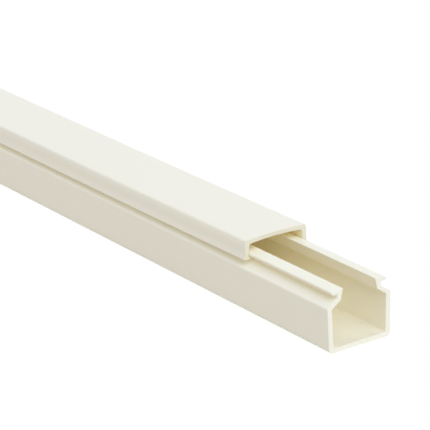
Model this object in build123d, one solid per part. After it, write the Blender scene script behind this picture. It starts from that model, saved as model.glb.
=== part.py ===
from build123d import *
import os
from math import atan, cos, radians, tan

# Cord cover raceway: an extruded channel that goes against the wall, and an extruded cover that
# snaps over its lips and slides along them. Millimetres. X runs along the length, Z is up from
# the channel's flat back, and the origin is the middle of that back.

# Closed raceway
length = 400.0
width = 15.0
height = 15.0
set_back = 26.0

# Channel section
floor = 0.9
wall = 1.05
wall_lean = 0.25
ridge_height = 9.1
shoulder_slope = 35.0
shoulder_run = 2.35
shoulder = 0.85
neck = 1.09
neck_lean = 0.53
neck_height = 0.85
lip_nose = 0.6
lip_fall = 0.4
nose_flat = 0.06

# Cover section
crown_rise = 0.25
hollow_rise = 0.32
cover_top = 0.87
skirt = 0.95
skirt_lean = 0.4
skirt_proud = 0.1
skirt_wave = 0.14
wave_share = 0.27
wave_ease = 0.4
shadow_gap = 1.6

# Snap fit between the lips and the cover's beads
running_gap = 0.1
catch_play = 0.4
catch_depth = 0.45
catch_fall = 0.1
catch_land = 0.2
lead_in = 0.3

# Corner radii
foot_round = 1.0
floor_round = 0.3
ridge_round = 0.5
neck_round = 0.3
lip_foot_round = 0.15
crown_round = 0.5
crown_inner_round = 0.4
edge_round = 0.15
bead_round = 0.12


def middle_span(y, z, rise):
    """The edge that crosses the middle of a section: straight, or bowed up by a rise."""
    if rise == 0:
        return Line((-y, z), (y, z))
    return ThreePointArc((-y, z), (0, z + rise), (y, z))


def section(half, first_rise=0.0, last_rise=0.0):
    """Symmetric face from half an outline, given as (y, z, radius) corners in order.

    The spans that join the two halves, at the first and the last corner, bow up by their rises.
    """
    points = [(y, z) for y, z, radius in half]
    right = Polyline(*points)
    left = Polyline(*[(-y, z) for y, z in points])
    first = middle_span(*points[0], first_rise)
    last = middle_span(*points[-1], last_rise)
    face = make_face(right.edges() + left.edges() + first.edges() + last.edges())
    for y, z, radius in half:
        corners = [v for v in face.vertices() if abs(abs(v.X) - y) + abs(v.Y - z) < 1e-4]
        face = fillet(corners, radius)
    return face


def extruded(face, x_middle):
    """The section carried along X over one stock length, centred at x_middle."""
    return Pos(x_middle, 0, 0) * extrude(Plane.YZ * face, length / 2, both=True)


# Places that both sections share
half_width = width / 2
slope = tan(radians(shoulder_slope))
neck_half = half_width - shoulder_run
lip_under = ridge_height + shoulder_run * slope + neck_height
nose_top = lip_under + lip_nose
lip_top = nose_top + lip_fall
cover_half = half_width + skirt_proud
crown_half = cover_half - skirt_lean
crown_edge = height - crown_rise
skirt_bottom = ridge_height + shadow_gap
skirt_height = crown_edge - skirt_bottom
skirt_flare = skirt_lean / skirt_height


def skirt_inner(z):
    """Half the width between the cover's skirts at a height."""
    return cover_half - (z - skirt_bottom) * skirt_flare - skirt


lip_half = skirt_inner(nose_top) - running_gap


def shoulder_inner(y):
    """Height of the shoulder's inner face at a distance from the middle."""
    return ridge_height + (half_width - y) * slope - shoulder / cos(radians(shoulder_slope))


def channel_section():
    """U of floor and walls, drawn in by sloped shoulders to necks with outward lips.

    Each lip falls from the mouth to a rounded nose, the lead-in that spreads the cover's skirts.
    """
    wall_inner = half_width - wall
    neck_foot = neck_half - neck + neck_lean / 2
    mouth_half = neck_foot - neck_lean
    nose_round = (lip_nose - nose_flat) / 2
    return section(
        [
            (half_width - wall_lean, 0.0, foot_round),
            (half_width, ridge_height, ridge_round),
            (neck_half, lip_under - neck_height, neck_round),
            (neck_half, lip_under, lip_foot_round),
            (lip_half, lip_under, nose_round),
            (lip_half, nose_top, nose_round),
            (mouth_half, lip_top, edge_round),
            (neck_foot, shoulder_inner(neck_foot), neck_round),
            (wall_inner, shoulder_inner(wall_inner), ridge_round),
            (wall_inner - wall_lean, floor, floor_round),
        ]
    )


def cover_section():
    """Crowned top with two flared skirts, each with a bead that catches under a lip.

    The outside of a skirt is a shallow ogee: it swells below the crown and draws in above its edge.
    Its two bends take the same share of the runs beside the crown and beside the edge.
    """
    wave_height = wave_share * skirt_height
    swell_height = crown_edge - wave_height
    waist_height = skirt_bottom + wave_height
    outer_lean = atan(skirt_flare + skirt_wave / wave_height)
    middle_lean = atan(skirt_flare - 2 * skirt_wave / (skirt_height - 2 * wave_height))
    wave_round = wave_ease * wave_height / tan((outer_lean - middle_lean) / 2)
    catch_root = lip_under - catch_play
    bead_tip = lip_half - catch_depth
    catch_tip = catch_root - catch_fall
    inner_edge = height - cover_top - hollow_rise
    return section(
        [
            (crown_half, crown_edge, crown_round),
            (skirt_inner(swell_height) + skirt + skirt_wave, swell_height, wave_round),
            (skirt_inner(waist_height) + skirt - skirt_wave, waist_height, wave_round),
            (cover_half, skirt_bottom, edge_round),
            (bead_tip + lead_in, skirt_bottom, edge_round),
            (bead_tip, catch_tip - catch_land, bead_round),
            (bead_tip, catch_tip, bead_round),
            (skirt_inner(catch_root), catch_root, bead_round),
            (skirt_inner(inner_edge), inner_edge, crown_inner_round),
        ],
        first_rise=crown_rise,
        last_rise=hollow_rise,
    )


os.makedirs("parts", exist_ok=True)
export_step(extruded(channel_section(), 0.0), "parts/base_channel.step")
export_step(extruded(cover_section(), -set_back), "parts/clip_cover.step")
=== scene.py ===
import bpy
import numpy as np
from mathutils import Matrix, Vector


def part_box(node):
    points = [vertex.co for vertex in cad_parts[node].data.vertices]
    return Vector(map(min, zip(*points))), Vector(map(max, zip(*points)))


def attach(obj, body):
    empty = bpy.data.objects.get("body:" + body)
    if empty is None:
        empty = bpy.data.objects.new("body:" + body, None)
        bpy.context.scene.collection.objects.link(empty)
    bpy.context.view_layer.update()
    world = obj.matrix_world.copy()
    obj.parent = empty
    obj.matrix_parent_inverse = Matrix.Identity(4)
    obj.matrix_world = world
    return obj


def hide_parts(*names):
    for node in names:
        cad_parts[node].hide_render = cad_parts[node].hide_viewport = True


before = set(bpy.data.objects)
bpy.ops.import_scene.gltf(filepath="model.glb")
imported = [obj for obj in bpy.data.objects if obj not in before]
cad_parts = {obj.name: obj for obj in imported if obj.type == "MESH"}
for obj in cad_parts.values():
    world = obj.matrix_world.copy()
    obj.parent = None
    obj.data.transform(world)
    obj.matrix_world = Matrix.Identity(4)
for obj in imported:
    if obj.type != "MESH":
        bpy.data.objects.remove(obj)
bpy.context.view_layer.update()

# Channel
# The half of the raceway that goes against the wall: one extrusion of cream-white rigid PVC, sawn
# square. Floor and walls make a U, sloped shoulders draw it in to two necks, and each neck ends in a
# lip that falls outwards to a rounded nose. Its hollows carry a painted warm shade, the lip tops a
# painted highlight, and the open floor patches of painted shade that grow towards the open end.
channel_low, channel_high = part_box("base_channel")
far_end, near_end = channel_low.x, channel_high.x
half_width = 0.0075
wall_lean = 0.00025
wall = 0.00105
floor = 0.0009
ridge_height = 0.0091
shoulder_angle = np.radians(35.0)
shoulder_run = 0.00235
shoulder = 0.00085
neck = 0.00109
neck_lean = 0.00053
neck_height = 0.00085
lip_nose = 0.0006
lip_fall = 0.0004
lip_half = 0.006402

foot_round = 0.001
floor_round = 0.0003
ridge_round = 0.0005
neck_round = 0.0003
lip_foot_round = 0.00015
nose_round = 0.00027
edge_round = 0.00015

shoulder_slope = np.tan(shoulder_angle)
shoulder_drop = shoulder / np.cos(shoulder_angle)
neck_half = half_width - shoulder_run
shoulder_top = ridge_height + shoulder_run * shoulder_slope
lip_under = shoulder_top + neck_height
nose_top = lip_under + lip_nose
lip_top = nose_top + lip_fall
neck_foot = neck_half - neck + neck_lean / 2
mouth_half = neck_foot - neck_lean
wall_inside = half_width - wall


def rounded_outline(corners, arc_steps, run_steps):
    """Closed outline through (y, z, radius) corners, as an array of points.

    A point drives along each side and turns each corner at a steady rate: with the heading h that
    it has along the way, an arc of radius r adds r (sin h, -cos h). The straight runs between the
    arcs are divided finely near their ends and coarsely in the middle.
    """
    table = np.array(corners)
    corner, radius = table[:, :2], table[:, 2]
    side = corner - np.roll(corner, 1, axis=0)
    side /= np.linalg.norm(side, axis=1, keepdims=True)
    onward = np.roll(side, -1, axis=0)
    heading = np.arctan2(side[:, 1], side[:, 0])
    turn = np.arctan2(
        side[:, 0] * onward[:, 1] - side[:, 1] * onward[:, 0],
        np.sum(side * onward, axis=1),
    )
    reach = (radius * np.tan(np.abs(turn) / 2))[:, None]
    start, end = corner - side * reach, corner + onward * reach
    along = heading[:, None] + turn[:, None] * np.linspace(0, 1, arc_steps + 1)
    swing = (radius * np.sign(turn))[:, None]
    arc_y = start[:, :1] + swing * (np.sin(along) - np.sin(heading)[:, None])
    arc_z = start[:, 1:] - swing * (np.cos(along) - np.cos(heading)[:, None])
    share = (1 - np.cos(np.pi * np.linspace(0, 1, run_steps + 2)[1:-1])) / 2
    run = end[:, None] + (np.roll(start, -1, axis=0) - end)[:, None] * share[:, None]
    arcs = np.stack([arc_y, arc_z], axis=2)
    return np.concatenate([arcs, run], axis=1).reshape(-1, 2)


def mirrored(half):
    """A whole outline, anticlockwise, from the (y, z, radius) corners of its right half."""
    return half + [(-y, z, radius) for y, z, radius in reversed(half)]


def shoulder_inside(y):
    """Height of the shoulder's inner face at a distance from the middle."""
    return ridge_height + (half_width - y) * shoulder_slope - shoulder_drop


channel_outline = rounded_outline(
    mirrored(
        [
            (half_width - wall_lean, 0.0, foot_round),
            (half_width, ridge_height, ridge_round),
            (neck_half, shoulder_top, neck_round),
            (neck_half, lip_under, lip_foot_round),
            (lip_half, lip_under, nose_round),
            (lip_half, nose_top, nose_round),
            (mouth_half, lip_top, edge_round),
            (neck_foot, shoulder_inside(neck_foot), neck_round),
            (wall_inside, shoulder_inside(wall_inside), ridge_round),
            (wall_inside - wall_lean, floor, floor_round),
        ]
    ),
    arc_steps=7,
    run_steps=6,
)


def channel_hollow_shade(outline):
    """Painted shade by how deep each outline point lies in a hollow: 0 on the open faces, up to 1.

    Within the middle line of neck, shoulder, wall and floor the share grows with the depth below
    the lips. In the recess under a lip it grows from the ridge to the neck, with the square of the
    way, and down the upper half of the nose.
    """
    y, z = np.abs(outline[:, 0]), outline[:, 1]
    in_neck = y < neck_half - neck / 2
    in_hollow = (z < shoulder_inside(y) + shoulder_drop / 2) & (y < half_width - wall / 2)
    depth = np.clip((lip_top - z) / lip_fall, 0, 1)
    within = (in_neck | in_hollow) & (z > floor / 2)
    in_recess = (z > ridge_height) & (z < nose_top)
    on_lip = z > lip_under - lip_nose / 8
    down_nose = np.clip((nose_top - z) / (lip_nose / 2), 0, 1)
    from_ridge = np.clip((half_width - y) / shoulder_run, 0, 1) ** 2
    recess = np.where(on_lip, down_nose, from_ridge)
    return np.where(within, depth, np.where(in_recess, recess, 0.0))


def outward(outline):
    """Unit normals of a closed outline: its direction at each point, turned to the outside."""
    tangent = np.roll(outline, -1, axis=0) - np.roll(outline, 1, axis=0)
    normal = np.stack([tangent[:, 1], -tangent[:, 0]], axis=1)
    return normal / np.linalg.norm(normal, axis=1, keepdims=True)


ring_spacing = 0.004
sawn_edge = 0.00005
ragged_turns = np.array([[9], [23], [47]])
ragged_share = np.array([[0.3], [0.25], [0.2]])
ragged_phase = np.array([[1.0], [0.0], [2.0]])


def sawn_extrusion(name, outline, hollow_shade, x_low, x_high, rise):
    """Outline carried along X from x_low to x_high, with rise(x) added to its height.

    The last rings at each end step in along the outline's normals, by a sawn edge that wanders a
    little round the outline as a sum of three sines, and a flat face closes each end. The face
    attribute sawn marks what the saw has cut, and a point attribute, given along the outline, the
    share of painted shade on the inner faces.
    """
    first, last = x_low + 3 * sawn_edge, x_high - 3 * sawn_edge
    middle = np.linspace(first, last, round((x_high - x_low) / ring_spacing))
    x = np.concatenate([[x_low, x_low + sawn_edge], middle, [x_high - sawn_edge, x_high]])
    inset = np.zeros(len(x))
    inset[[0, -1]] = sawn_edge
    turn = np.linspace(0, 2 * np.pi, len(outline), endpoint=False)
    wander = 1 + np.sum(ragged_share * np.sin(ragged_turns * turn + ragged_phase), axis=0)
    ring = outline[None] - (outward(outline) * wander[:, None])[None] * inset[:, None, None]
    points = np.empty((len(x), len(outline), 3))
    points[:, :, 0] = x[:, None]
    points[:, :, 1:] = ring
    points[:, :, 2] += rise(x)[:, None]
    index = np.arange(points[:, :, 0].size).reshape(len(x), len(outline))
    beside = np.roll(index, -1, axis=1)
    quads = np.stack([index[:-1], beside[:-1], beside[1:], index[1:]], axis=2).reshape(-1, 4)
    faces = quads.tolist() + [index[0, ::-1].tolist(), index[-1].tolist()]
    mesh = bpy.data.meshes.new(name)
    mesh.from_pydata(points.reshape(-1, 3).tolist(), [], faces)
    sawn = np.zeros((len(x) - 1, len(outline)))
    sawn[[0, -1]] = 1
    sawn = np.append(sawn.ravel(), [1, 1])
    mesh.attributes.new("sawn", "FLOAT", "FACE").data.foreach_set("value", sawn)
    within = np.tile(hollow_shade, len(x))
    mesh.attributes.new("hollow_shade", "FLOAT", "POINT").data.foreach_set("value", within)
    smooth = np.append(np.ones(len(quads), dtype=bool), [False, False])
    mesh.polygons.foreach_set("use_smooth", smooth)
    mesh.update()
    piece = bpy.data.objects.new(name, mesh)
    bpy.context.scene.collection.objects.link(piece)
    return piece


channel = sawn_extrusion(
    "channel_extrusion",
    channel_outline,
    channel_hollow_shade(channel_outline),
    far_end,
    near_end,
    np.zeros_like,
)
open_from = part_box("clip_cover")[1].x
# Painted shade on the open floor, within this height of its flat.
open_floor_shade_height = 0.00005
# Painted highlight on the lip tops: it fades over this edge below their slope.
lip_highlight_edge = 0.0001


def mark_floor_shade_and_highlight(piece):
    """Channel point attributes: painted shade on its open floor, a painted highlight on its lip tops.

    The shade grows with the square of the way from the cover's edge to the open end, within
    open_floor_shade_height of the flat of the floor. The highlight fades over lip_highlight_edge
    below the slope from a lip's mouth to its nose.
    """
    place = np.empty(len(piece.data.vertices) * 3)
    piece.data.vertices.foreach_get("co", place)
    x, y, z = place.reshape(-1, 3).T
    opened = np.clip((x - open_from) / (near_end - open_from), 0, 1)
    on_floor = (np.abs(z - floor) < open_floor_shade_height) & (np.abs(y) < wall_inside)
    lip_slope = nose_top + lip_fall * (lip_half - np.abs(y)) / (lip_half - mouth_half)
    on_top = np.clip(1 - (lip_slope - z) / lip_highlight_edge, 0, 1)
    # The first mask places painted shade on the open floor, the second a painted highlight on the lip
    # tops.
    for name, share in (("open_floor_shade", opened**2 * on_floor), ("lip_highlight", on_top)):
        piece.data.attributes.new(name, "FLOAT", "POINT").data.foreach_set("value", share)


mark_floor_shade_and_highlight(channel)


def new_group(name, inputs, outputs):
    """An empty shader node group with float, vector or colour sockets, and its two end nodes."""
    group = bpy.data.node_groups.new(name, "ShaderNodeTree")
    for label, kind in inputs:
        group.interface.new_socket(label, in_out="INPUT", socket_type=kind)
    for label, kind in outputs:
        group.interface.new_socket(label, in_out="OUTPUT", socket_type=kind)
    return group, group.nodes.new("NodeGroupInput"), group.nodes.new("NodeGroupOutput")


def stretched_noise(tree, place, scale, detail):
    """Noise over Object coordinates that are first scaled along each axis."""
    mapping = tree.nodes.new("ShaderNodeMapping")
    mapping.inputs["Scale"].default_value = scale
    noise = tree.nodes.new("ShaderNodeTexNoise")
    noise.inputs["Scale"].default_value = 1.0
    noise.inputs["Detail"].default_value = detail
    tree.links.new(place, mapping.inputs["Vector"])
    tree.links.new(mapping.outputs["Vector"], noise.inputs["Vector"])
    return noise.outputs["Fac"]


def math_node(tree, operation, *values):
    """One Math node on sockets or plain numbers."""
    node = tree.nodes.new("ShaderNodeMath")
    node.operation = operation
    for socket, value in zip(node.inputs, values):
        if isinstance(value, bpy.types.NodeSocket):
            tree.links.new(value, socket)
        else:
            socket.default_value = value
    return node.outputs["Value"]


line_scale = (12.0, 1400.0, 1400.0)
grain_scale = (1800.0, 1800.0, 1800.0)
stroke_scale = (4000.0, 700.0, 6500.0)
cloud_scale = (25.0, 160.0, 160.0)
patch_scale = (150.0, 420.0, 420.0)
line_share = 0.7


def extruded_skin_group():
    """Surface that a die and a saw leave: drawn lines along X, a fine grain, and saw strokes.

    Lines are noise stretched a hundredfold along X, grain is even noise, and strokes are noise
    stretched across the cut. The mask Sawn trades the first two for the last. Tone is a slow drift
    along the length, and Patches a patchy mask that places painted shade.
    """
    group, given, made = new_group(
        "extruded_skin",
        [("Place", "NodeSocketVector"), ("Sawn", "NodeSocketFloat")],
        [("Height", "NodeSocketFloat"), ("Tone", "NodeSocketFloat"), ("Patches", "NodeSocketFloat")],
    )
    place, sawn = given.outputs["Place"], given.outputs["Sawn"]
    lines = stretched_noise(group, place, line_scale, detail=3.0)
    grain = stretched_noise(group, place, grain_scale, detail=2.0)
    strokes = stretched_noise(group, place, stroke_scale, detail=2.0)
    clouds = stretched_noise(group, place, cloud_scale, detail=2.0)
    patches = stretched_noise(group, place, patch_scale, detail=3.0)
    fine = math_node(group, "MULTIPLY", grain, 1 - line_share)
    drawn = math_node(group, "MULTIPLY_ADD", lines, line_share, fine)
    mix = group.nodes.new("ShaderNodeMix")
    group.links.new(sawn, mix.inputs["Factor"])
    group.links.new(drawn, mix.inputs["A"])
    group.links.new(strokes, mix.inputs["B"])
    group.links.new(mix.outputs["Result"], made.inputs["Height"])
    group.links.new(clouds, made.inputs["Tone"])
    group.links.new(patches, made.inputs["Patches"])
    return group


extruded_skin = extruded_skin_group()


def colour_mix(tree, share, first, second):
    """Mix node between two colours, each a plain colour or a socket, by a socket from 0 to 1."""
    mix = tree.nodes.new("ShaderNodeMix")
    mix.data_type = "RGBA"
    tree.links.new(share, mix.inputs["Factor"])
    for label, value in (("A", first), ("B", second)):
        if isinstance(value, bpy.types.NodeSocket):
            tree.links.new(value, mix.inputs[label])
        else:
            mix.inputs[label].default_value = (*value, 1.0)
    return mix.outputs["Result"]


def attribute_value(tree, name):
    """Value socket of one of the mesh's own attributes."""
    node = tree.nodes.new("ShaderNodeAttribute")
    node.attribute_name = name
    return node.outputs["Fac"]


pvc_ior = 1.53
satin = 0.3
sawn_rough = 0.67
tone_drift = 0.985
relief_depth = 0.00005
pvc_outer = (0.974, 0.966, 0.869)
# Colour of the painted highlight on the lip tops.
lip_highlight_colour = (0.985, 0.982, 0.868)
# Colour of the painted shade on the open floor.
open_floor_shade_colour = (0.75, 0.74, 0.665)
light_through = (0.32, 0.3, 0.2)


def pvc_material(name, shaded_colour, sawn_colour, relief):
    """Satin rigid PVC: cream drifting along the length, a painted warm shade inside, a tone where
    sawn.

    It is paler on the lip tops, a painted highlight, and painted shade greys the open floor in
    patches. Its walls are thin enough to let a little warm light from the lamps through.
    """
    material = bpy.data.materials.new(name)
    material.use_nodes = True
    tree = material.node_tree
    shader = tree.nodes["Principled BSDF"]
    shader.inputs["IOR"].default_value = pvc_ior
    sawn = attribute_value(tree, "sawn")
    hollow_shade = attribute_value(tree, "hollow_shade")
    skin = tree.nodes.new("ShaderNodeGroup")
    skin.node_tree = extruded_skin
    tree.links.new(tree.nodes.new("ShaderNodeTexCoord").outputs["Object"], skin.inputs["Place"])
    tree.links.new(sawn, skin.inputs["Sawn"])
    # The hollows take a painted warm shade: the cream turns to the shaded colour.
    cream = colour_mix(tree, hollow_shade, pvc_outer, shaded_colour)
    dull = colour_mix(tree, hollow_shade, *(np.array([pvc_outer, shaded_colour]) * tone_drift))
    drawn = colour_mix(tree, skin.outputs["Tone"], dull, cream)
    # The lip tops take a painted highlight.
    highlighted = colour_mix(tree, attribute_value(tree, "lip_highlight"), drawn, lip_highlight_colour)
    # Patches of painted shade grey the open floor towards its open end.
    open_floor_shade_share = math_node(tree, "MULTIPLY", attribute_value(tree, "open_floor_shade"), skin.outputs["Patches"])
    open_floor_shaded = colour_mix(tree, open_floor_shade_share, highlighted, open_floor_shade_colour)
    tree.links.new(colour_mix(tree, sawn, open_floor_shaded, sawn_colour), shader.inputs["Base Color"])
    rough = math_node(tree, "MULTIPLY_ADD", sawn, sawn_rough - satin, satin)
    tree.links.new(rough, shader.inputs["Roughness"])
    bump = tree.nodes.new("ShaderNodeBump")
    bump.inputs["Strength"].default_value = relief
    bump.inputs["Distance"].default_value = relief_depth
    tree.links.new(skin.outputs["Height"], bump.inputs["Height"])
    tree.links.new(bump.outputs["Normal"], shader.inputs["Normal"])
    through = tree.nodes.new("ShaderNodeBsdfTransparent")
    through.inputs["Color"].default_value = (*light_through, 1.0)
    wall_blend = tree.nodes.new("ShaderNodeMixShader")
    lamp_ray = tree.nodes.new("ShaderNodeLightPath").outputs["Is Shadow Ray"]
    tree.links.new(lamp_ray, wall_blend.inputs["Fac"])
    tree.links.new(shader.outputs["BSDF"], wall_blend.inputs[1])
    tree.links.new(through.outputs["BSDF"], wall_blend.inputs[2])
    tree.links.new(wall_blend.outputs["Shader"], tree.nodes["Material Output"].inputs["Surface"])
    return material


# Painted warm shade in the channel's hollows, and the colour of its sawn ends.
channel_shaded = (0.964, 0.927, 0.783)
channel_sawn = (0.955, 0.964, 0.872)
channel.data.materials.append(pvc_material("channel_pvc", channel_shaded, channel_sawn, relief=0.35))
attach(channel, "channel")
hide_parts("base_channel")

# Cover
# The half that closes the raceway: a second extrusion of the same PVC, thinner, with a crowned top
# and two flared skirts. A bead along the inside of each skirt catches under a lip of the channel.
# It is drawn back from the near end, where it springs up a little within the play of the catch.
cover_low, cover_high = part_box("clip_cover")
cover_far, cover_near = cover_low.x, cover_high.x
skirt_bottom = cover_low.z
cover_height = 0.015
cover_half = 0.0076
crown_rise = 0.00025
hollow_rise = 0.00032
cover_top = 0.00087
skirt = 0.00095
skirt_lean = 0.0004
skirt_wave = 0.00014
wave_share = 0.27
catch_depth = 0.00045
catch_play = 0.0004
catch_fall = 0.0001
catch_land = 0.0002
lead_in = 0.0003
end_spring = 0.00028
spring_length = 0.07

crown_round = 0.0005
crown_inner_round = 0.0004
wave_round = 0.0032
bead_round = 0.00012

crown_half = cover_half - skirt_lean
crown_edge = cover_height - crown_rise
inner_edge = cover_height - cover_top - hollow_rise
middle_edge = (inner_edge + crown_edge) / 2
wave_height = wave_share * (crown_edge - skirt_bottom)
swell = crown_edge - wave_height
waist = skirt_bottom + wave_height
bead_tip = lip_half - catch_depth
catch_root = lip_under - catch_play
catch_tip = catch_root - catch_fall


def skirt_inside(z):
    """Half the width between the skirts at a height: the flared outside less the thickness."""
    return cover_half - (z - skirt_bottom) * skirt_lean / (crown_edge - skirt_bottom) - skirt


def crowned(outline):
    """Bows the top up: each face by its rise times a parabola across its own half width."""
    y, z = outline[:, 0], outline[:, 1]
    hollow = hollow_rise * np.clip(1 - (y / skirt_inside(inner_edge)) ** 2, 0, None)
    crown = crown_rise * np.clip(1 - (y / crown_half) ** 2, 0, None)
    bow = np.where(z > middle_edge, crown, np.where(z > lip_top, hollow, 0.0))
    return np.stack([y, z + bow], axis=1)


cover_outline = crowned(
    rounded_outline(
        mirrored(
            [
                (skirt_inside(inner_edge), inner_edge, crown_inner_round),
                (skirt_inside(catch_root), catch_root, bead_round),
                (bead_tip, catch_tip, bead_round),
                (bead_tip, catch_tip - catch_land, bead_round),
                (bead_tip + lead_in, skirt_bottom, edge_round),
                (cover_half, skirt_bottom, edge_round),
                (skirt_inside(waist) + skirt - skirt_wave, waist, wave_round),
                (skirt_inside(swell) + skirt + skirt_wave, swell, wave_round),
                (crown_half, crown_edge, crown_round),
            ]
        ),
        arc_steps=7,
        run_steps=10,
    )
)


def cover_hollow_shade(outline):
    """Painted shade: 1 on the inner faces of the cover, within the middle line of its skirts and top.
    """
    y, z = np.abs(outline[:, 0]), outline[:, 1]
    under_top = z < middle_edge + crown_rise * (1 - (y / crown_half) ** 2)
    return np.where(under_top & (y < skirt_inside(z) + skirt / 2) & (z > skirt_bottom), 1.0, 0.0)


def end_rise(x):
    """The cover's spring near its open end: a parabola that starts spring_length before it."""
    return end_spring * np.clip((x - cover_near) / spring_length + 1, 0, None) ** 2


cover = sawn_extrusion(
    "cover_extrusion",
    cover_outline,
    cover_hollow_shade(cover_outline),
    cover_far,
    cover_near,
    end_rise,
)
# Painted warm shade on the cover's inner faces.
cover_shaded = (0.95, 0.885, 0.68)
# The cover's sawn end takes a darker, warmer colour: painted shade.
cover_sawn_shaded = (0.848, 0.82, 0.69)
cover.data.materials.append(pvc_material("cover_pvc", cover_shaded, cover_sawn_shaded, relief=0.3))
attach(cover, "cover")
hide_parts("clip_cover")

# Floor
# A plain pale studio floor, a little warm, that the raceway lies on. It keeps the shadow, and the
# camera sees it lifted towards white.
studio_reach = 6.0
studio_colour = (0.772, 0.716, 0.632)
studio_lift = 0.93
studio_glow = 1.04


def seen(tree):
    """1 for rays that show the studio: from the camera, from a gloss or through a clear piece."""
    path = tree.nodes.new("ShaderNodeLightPath").outputs
    gloss = math_node(tree, "MAXIMUM", path["Is Glossy Ray"], path["Is Transmission Ray"])
    return math_node(tree, "MAXIMUM", path["Is Camera Ray"], gloss)


floor_mesh = bpy.data.meshes.new("studio_floor")
floor_mesh.from_pydata(
    [(x * studio_reach, y * studio_reach, 0.0) for x, y in ((-1, -1), (1, -1), (1, 1), (-1, 1))],
    [],
    [(0, 1, 2, 3)],
)
studio_floor = bpy.data.objects.new("studio_floor", floor_mesh)
bpy.context.scene.collection.objects.link(studio_floor)
floor_white = bpy.data.materials.new("floor_white")
floor_white.use_nodes = True
floor_tree = floor_white.node_tree
floor_shader = floor_tree.nodes["Principled BSDF"]
floor_shader.inputs["Base Color"].default_value = (*studio_colour, 1.0)
floor_shader.inputs["Roughness"].default_value = 1.0
floor_shader.inputs["Specular IOR Level"].default_value = 0.0
glow = floor_tree.nodes.new("ShaderNodeEmission")
glow.inputs["Strength"].default_value = studio_glow
floor_blend = floor_tree.nodes.new("ShaderNodeMixShader")
lifted = math_node(floor_tree, "MULTIPLY", seen(floor_tree), studio_lift)
floor_tree.links.new(lifted, floor_blend.inputs["Fac"])
floor_tree.links.new(floor_shader.outputs["BSDF"], floor_blend.inputs[1])
floor_tree.links.new(glow.outputs["Emission"], floor_blend.inputs[2])
floor_face = floor_tree.nodes["Material Output"].inputs["Surface"]
floor_tree.links.new(floor_blend.outputs["Shader"], floor_face)
floor_mesh.materials.append(floor_white)

# Light
# Even studio light from all round, and one large soft lamp high over the open end. The camera and
# reflections see plain white in place of the even light. The pale walls pass light on many times,
# so it may bounce often.
sky_strength = 0.505
sky_colour = (1.0, 0.96, 0.92)
key_way = Vector((0.62, -0.12, 0.77)).normalized()
key_distance = 2.4
key_size = 2.4
key_power = 37.3
key_colour = (0.935, 1.0, 1.07)
all_bounces = 32
diffuse_bounces = 24

sky = bpy.data.worlds.new("studio_sky")
sky.use_nodes = True
sky_tree = sky.node_tree
sky_light = sky_tree.nodes["Background"]
sky_light.inputs["Color"].default_value = (*sky_colour, 1.0)
sky_light.inputs["Strength"].default_value = sky_strength
sky_white = sky_tree.nodes.new("ShaderNodeBackground")
sky_white.inputs["Color"].default_value = (1.0, 1.0, 1.0, 1.0)
sky_white.inputs["Strength"].default_value = 1.0
sky_blend = sky_tree.nodes.new("ShaderNodeMixShader")
sky_tree.links.new(seen(sky_tree), sky_blend.inputs["Fac"])
sky_tree.links.new(sky_light.outputs["Background"], sky_blend.inputs[1])
sky_tree.links.new(sky_white.outputs["Background"], sky_blend.inputs[2])
sky_tree.links.new(sky_blend.outputs["Shader"], sky_tree.nodes["World Output"].inputs["Surface"])
bpy.context.scene.world = sky

key_light = bpy.data.lights.new("key_lamp", "AREA")
key_light.shape = "DISK"
key_light.size = key_size
key_light.energy = key_power
key_light.color = key_colour
key_lamp = bpy.data.objects.new("key_lamp", key_light)
key_lamp.location = Vector((near_end, 0.0, 0.0)) + key_way * key_distance
key_lamp.rotation_mode = "QUATERNION"
key_lamp.rotation_quaternion = key_way.to_track_quat("Z", "Y")
bpy.context.scene.collection.objects.link(key_lamp)
bpy.context.scene.cycles.max_bounces = all_bounces
bpy.context.scene.cycles.diffuse_bounces = diffuse_bounces

# Camera
# It looks down on the open end from the front, a long lens close to the part. The near end's
# middle, aim_height above the floor, falls on aim_pixel of the square picture.
picture_side = 430.0
lens_pixels = 2382.3
azimuth, elevation, roll = np.radians((55.49, 20.455, -1.876))
aim_height = 0.006
aim_pixel = np.array((359.53, 315.5))
aim_distance = 0.4458

back = np.array(
    (
        np.sin(azimuth) * np.cos(elevation),
        -np.cos(azimuth) * np.cos(elevation),
        np.sin(elevation),
    )
)
level = np.array((np.cos(azimuth), np.sin(azimuth), 0.0))
upright = np.cross(back, level)
right = level * np.cos(roll) + upright * np.sin(roll)
up = upright * np.cos(roll) - level * np.sin(roll)
aside, below = (aim_pixel - picture_side / 2) * aim_distance / lens_pixels
place = np.array((near_end, 0.0, aim_height)) - right * aside + up * below + back * aim_distance
turned = Matrix(np.stack([right, up, back], axis=1)).to_4x4()
camera_data = bpy.data.cameras.new("camera")
camera_data.sensor_width = 36.0
camera_data.lens = camera_data.sensor_width * lens_pixels / picture_side
camera_data.clip_start = 0.01
camera = bpy.data.objects.new("camera", camera_data)
camera.matrix_world = Matrix.Translation(place) @ turned
bpy.context.scene.collection.objects.link(camera)
bpy.context.scene.camera = camera
bpy.context.scene.view_settings.view_transform = "Standard"
